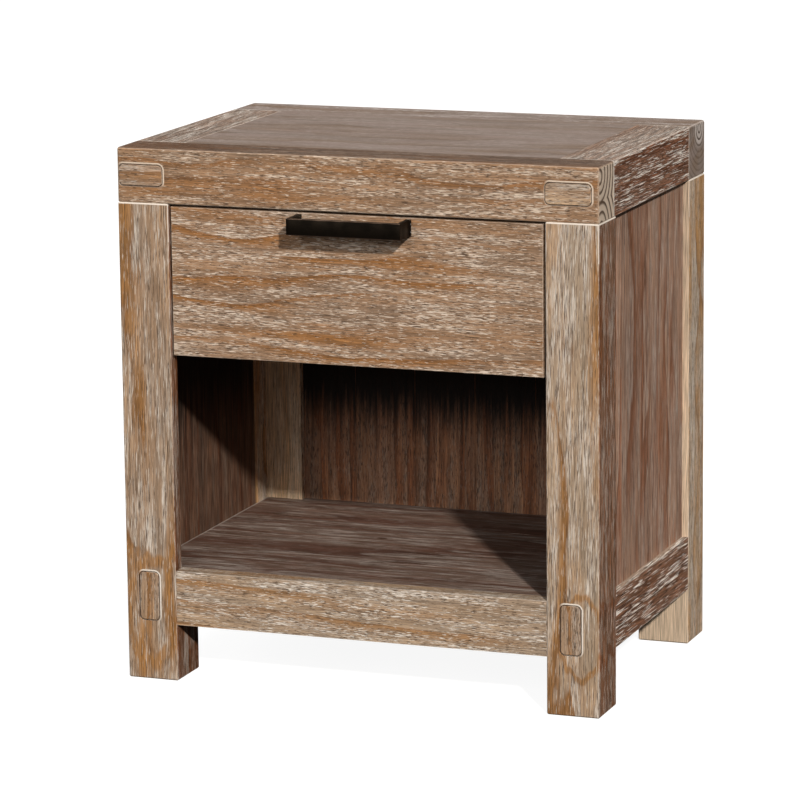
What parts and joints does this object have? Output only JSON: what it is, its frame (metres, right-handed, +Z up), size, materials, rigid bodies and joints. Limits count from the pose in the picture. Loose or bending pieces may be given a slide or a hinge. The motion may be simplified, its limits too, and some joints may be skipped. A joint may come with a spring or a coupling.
{
  "type": "nightstand",
  "caption": "Square-legged wooden nightstand with a framed top, an inset drawer on telescopic slides and an open shelf below.",
  "frame": {"origin": "middle of the rectangle that the whole object covers on the floor, pull included", "axes": "+Z up, -Y towards the front, where the drawer opens, +X to the right as seen from the front"},
  "size_m": [0.61, 0.467, 0.66],
  "materials": {
    "limewashed_wood": "wire-brushed pine with a lime wash in the grain, dull clear lacquer",
    "plug_wood": "wire-brushed long-grain face plugs with lime in the joint",
    "panel_wood": "brown stained glued panels, lightly limed, dull lacquer",
    "inner_wood": "bare planed pine",
    "drawer_wood": "planed pine with a thin brown stain",
    "slide_steel": "zinc-plated rolled steel",
    "zinc_steel": "zinc-plated screws",
    "bronze_pull": "oil-rubbed dark bronze coating, satin"
  },
  "bodies": {
    "case": {"top_front_rail": "limewashed_wood", "top_rear_rail": "limewashed_wood", "top_field": "limewashed_wood", "top_rail_left": "limewashed_wood", "top_rail_right": "limewashed_wood", "leg_front_left": "limewashed_wood", "leg_front_right": "limewashed_wood", "leg_rear_left": "limewashed_wood", "leg_rear_right": "limewashed_wood", "plug_top_left": "plug_wood", "plug_top_right": "plug_wood", "plug_leg_left": "plug_wood", "plug_leg_right": "plug_wood", "bottom_front_rail": "limewashed_wood", "bottom_rear_rail": "limewashed_wood", "bottom_rail_left": "limewashed_wood", "bottom_rail_right": "limewashed_wood", "side_panel_left": "panel_wood", "side_panel_right": "panel_wood", "back_panel": "panel_wood", "shelf": "panel_wood", "slide_runner_left": "inner_wood", "slide_runner_right": "inner_wood", "shelf_cleat_left": "inner_wood", "shelf_cleat_right": "inner_wood", "frame_dowels": "inner_wood", "leg_dowels": "inner_wood", "runner_screws": "zinc_steel", "shelf_screws": "zinc_steel", "back_screws": "zinc_steel", "slide_outer_left": "slide_steel", "slide_outer_right": "slide_steel", "slide_outer_screws": "zinc_steel"},
    "drawer": {"drawer_front": "limewashed_wood", "drawer_box_front": "drawer_wood", "drawer_box_back": "drawer_wood", "drawer_side_left": "drawer_wood", "drawer_side_right": "drawer_wood", "drawer_bottom": "drawer_wood", "drawer_front_screws": "zinc_steel", "slide_inner_left": "slide_steel", "slide_inner_right": "slide_steel", "slide_inner_screws": "zinc_steel", "pull": "bronze_pull", "pull_screws": "zinc_steel"},
    "slide_middle_left": {"slide_middle_left": "slide_steel"},
    "slide_middle_right": {"slide_middle_right": "slide_steel"}
  },
  "joints": [
    {"name": "drawer_slide", "type": "slide", "parent": "case", "child": "drawer", "axis": [0, -1, 0], "range_m": [0, 0.3]},
    {"name": "middle_left_slide", "type": "slide", "parent": "case", "child": "slide_middle_left", "axis": [0, -1, 0], "range_m": [0, 0.15]},
    {"name": "middle_right_slide", "type": "slide", "parent": "case", "child": "slide_middle_right", "axis": [0, -1, 0], "range_m": [0, 0.15]}
  ],
  "couplings": [
    {"joint": "middle_left_slide", "follows": "drawer_slide", "ratio": 0.5},
    {"joint": "middle_right_slide", "follows": "drawer_slide", "ratio": 0.5}
  ]
}
